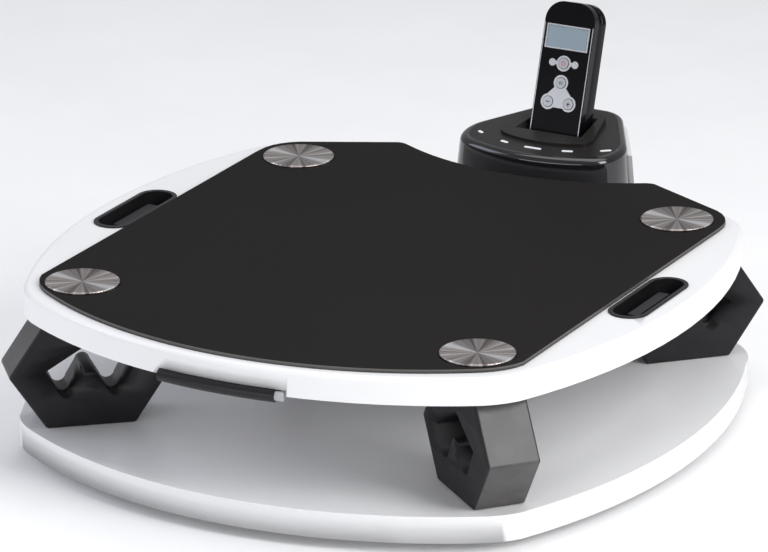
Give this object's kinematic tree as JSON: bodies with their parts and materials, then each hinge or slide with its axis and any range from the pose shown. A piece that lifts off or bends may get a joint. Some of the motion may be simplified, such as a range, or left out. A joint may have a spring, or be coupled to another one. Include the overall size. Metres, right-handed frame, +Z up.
{
  "type": "vibration plate",
  "caption": "Low white vibration platform: matted deck on rubber hexagon springs over a base, grip cups, a rear console and an upright docked handset.",
  "frame": {"origin": "on the floor under the middle of the whole machine", "axes": "+X to the right of a person who faces the console, +Y from the front edge towards the console, +Z up"},
  "size_m": [0.616, 0.753, 0.2991],
  "materials": {
    "white_lacquer": "white gloss lacquer on board, rounded edges",
    "foot_rubber": "matte rubber",
    "spring_rubber": "moulded rubber, satin sides",
    "zinc_steel": "zinc plated",
    "mat_vinyl": "fine grained matte mat",
    "spun_aluminium": "spun finish with radial streaks",
    "black_moulding": "satin moulding",
    "grey_plug": "slightly clear grey plug",
    "piano_black": "high gloss",
    "white_gloss": "gloss moulding",
    "console_satin": "satin dark grey-brown",
    "window_clear": "frosted light window",
    "circuit_green": "soldered board",
    "can_aluminium": "drawn can",
    "pin_brass": "turned pin",
    "rocker_red": "gloss rocker",
    "cast_housing": "cast, fine shot-blasted skin",
    "painted_steel": "black powder coat",
    "lamination_steel": "stacked laminations",
    "copper_wire": "enamelled copper wire",
    "bearing_steel": "ground steel",
    "silver_trim": "satin silver trim",
    "display_glass": "blue-grey display window",
    "cell_wrap": "printed sleeve",
    "key_silver": "silver key cap"
  },
  "bodies": {
    "base": {"base_board": "white_lacquer", "base_feet": "foot_rubber", "base_foot_screws": "zinc_steel", "spring_front_left": "spring_rubber", "spring_front_right": "spring_rubber", "spring_rear_left": "spring_rubber", "spring_rear_right": "spring_rubber", "lower_inserts": "zinc_steel", "lower_bolts": "zinc_steel", "console_bracket": "zinc_steel", "console_front_shell": "piano_black", "console_rear_cover": "white_gloss", "console_top": "console_satin", "dock_collar": "piano_black", "indicator_windows": "window_clear", "indicator_board": "circuit_green", "control_board": "circuit_green", "start_capacitor": "can_aluminium", "mains_inlet": "black_moulding", "inlet_pins": "pin_brass", "switch_frame": "black_moulding", "console_screws": "zinc_steel"},
    "deck": {"deck_board": "white_lacquer", "standing_mat": "mat_vinyl", "metal_caps": "spun_aluminium", "upper_inserts": "zinc_steel", "upper_bolts": "zinc_steel", "grip_cup_left": "black_moulding", "grip_cup_right": "black_moulding", "grip_screws": "zinc_steel", "front_grip_bar": "black_moulding", "front_grip_plug": "grey_plug", "front_grip_screws": "zinc_steel", "motor_mount_plate": "painted_steel", "motor_bolts": "zinc_steel", "motor_housing": "cast_housing", "end_bell_left": "cast_housing", "end_bell_right": "cast_housing", "stator_core": "lamination_steel", "stator_windings": "copper_wire", "motor_bearings": "bearing_steel", "weight_cover_left": "painted_steel", "weight_cover_right": "painted_steel"},
    "rotor": {"rotor_shaft": "bearing_steel", "rotor_core": "lamination_steel", "eccentric_weights": "lamination_steel"},
    "handset": {"handset_front": "piano_black", "handset_back": "piano_black", "handset_trim": "silver_trim", "display_frame": "silver_trim", "display_window": "display_glass", "key_surrounds": "silver_trim", "handset_board": "circuit_green", "handset_cells": "cell_wrap"},
    "cell_cover": {"battery_cover": "piano_black"},
    "start_key": {"key_start": "key_silver"},
    "mode_key": {"key_mode": "key_silver"},
    "minus_key": {"key_minus": "key_silver"},
    "plus_key": {"key_plus": "key_silver"},
    "rocker": {"power_rocker": "rocker_red"}
  },
  "joints": [
    {"name": "deck_travel", "type": "slide", "parent": "base", "child": "deck", "axis": [0, 0, 1], "range_m": [-0.004, 0.002], "stiffness_N_per_m": 330000, "springref_m": 0.0005, "deforming": ["spring_front_left", "spring_front_right", "spring_rear_left", "spring_rear_right"]},
    {"name": "rotor_spin", "type": "hinge", "parent": "deck", "child": "rotor", "pos_m": [0, -0.037, 0.088], "axis": [1, 0, 0], "continuous": true},
    {"name": "handset_lift", "type": "slide", "parent": "base", "child": "handset", "axis": [0, 0.3024, 0.9532], "range_m": [0, 0.04]},
    {"name": "cell_cover_slide", "type": "slide", "parent": "handset", "child": "cell_cover", "axis": [0, 0.3024, 0.9532], "range_m": [0, 0.01]},
    {"name": "power_rock", "type": "hinge", "parent": "base", "child": "rocker", "pos_m": [0.021, 0.3715, 0.068], "axis": [1, 0, 0], "range_deg": [-16, 0]},
    {"name": "start_press", "type": "slide", "parent": "handset", "child": "start_key", "axis": [0, 0.9532, -0.3024], "range_m": [0, 0.0008], "stiffness_N_per_m": 600, "springref_m": -0.0005},
    {"name": "mode_press", "type": "slide", "parent": "handset", "child": "mode_key", "axis": [0, 0.9532, -0.3024], "range_m": [0, 0.0008], "stiffness_N_per_m": 600, "springref_m": -0.0005},
    {"name": "minus_press", "type": "slide", "parent": "handset", "child": "minus_key", "axis": [0, 0.9532, -0.3024], "range_m": [0, 0.0008], "stiffness_N_per_m": 600, "springref_m": -0.0005},
    {"name": "plus_press", "type": "slide", "parent": "handset", "child": "plus_key", "axis": [0, 0.9532, -0.3024], "range_m": [0, 0.0008], "stiffness_N_per_m": 600, "springref_m": -0.0005}
  ]
}
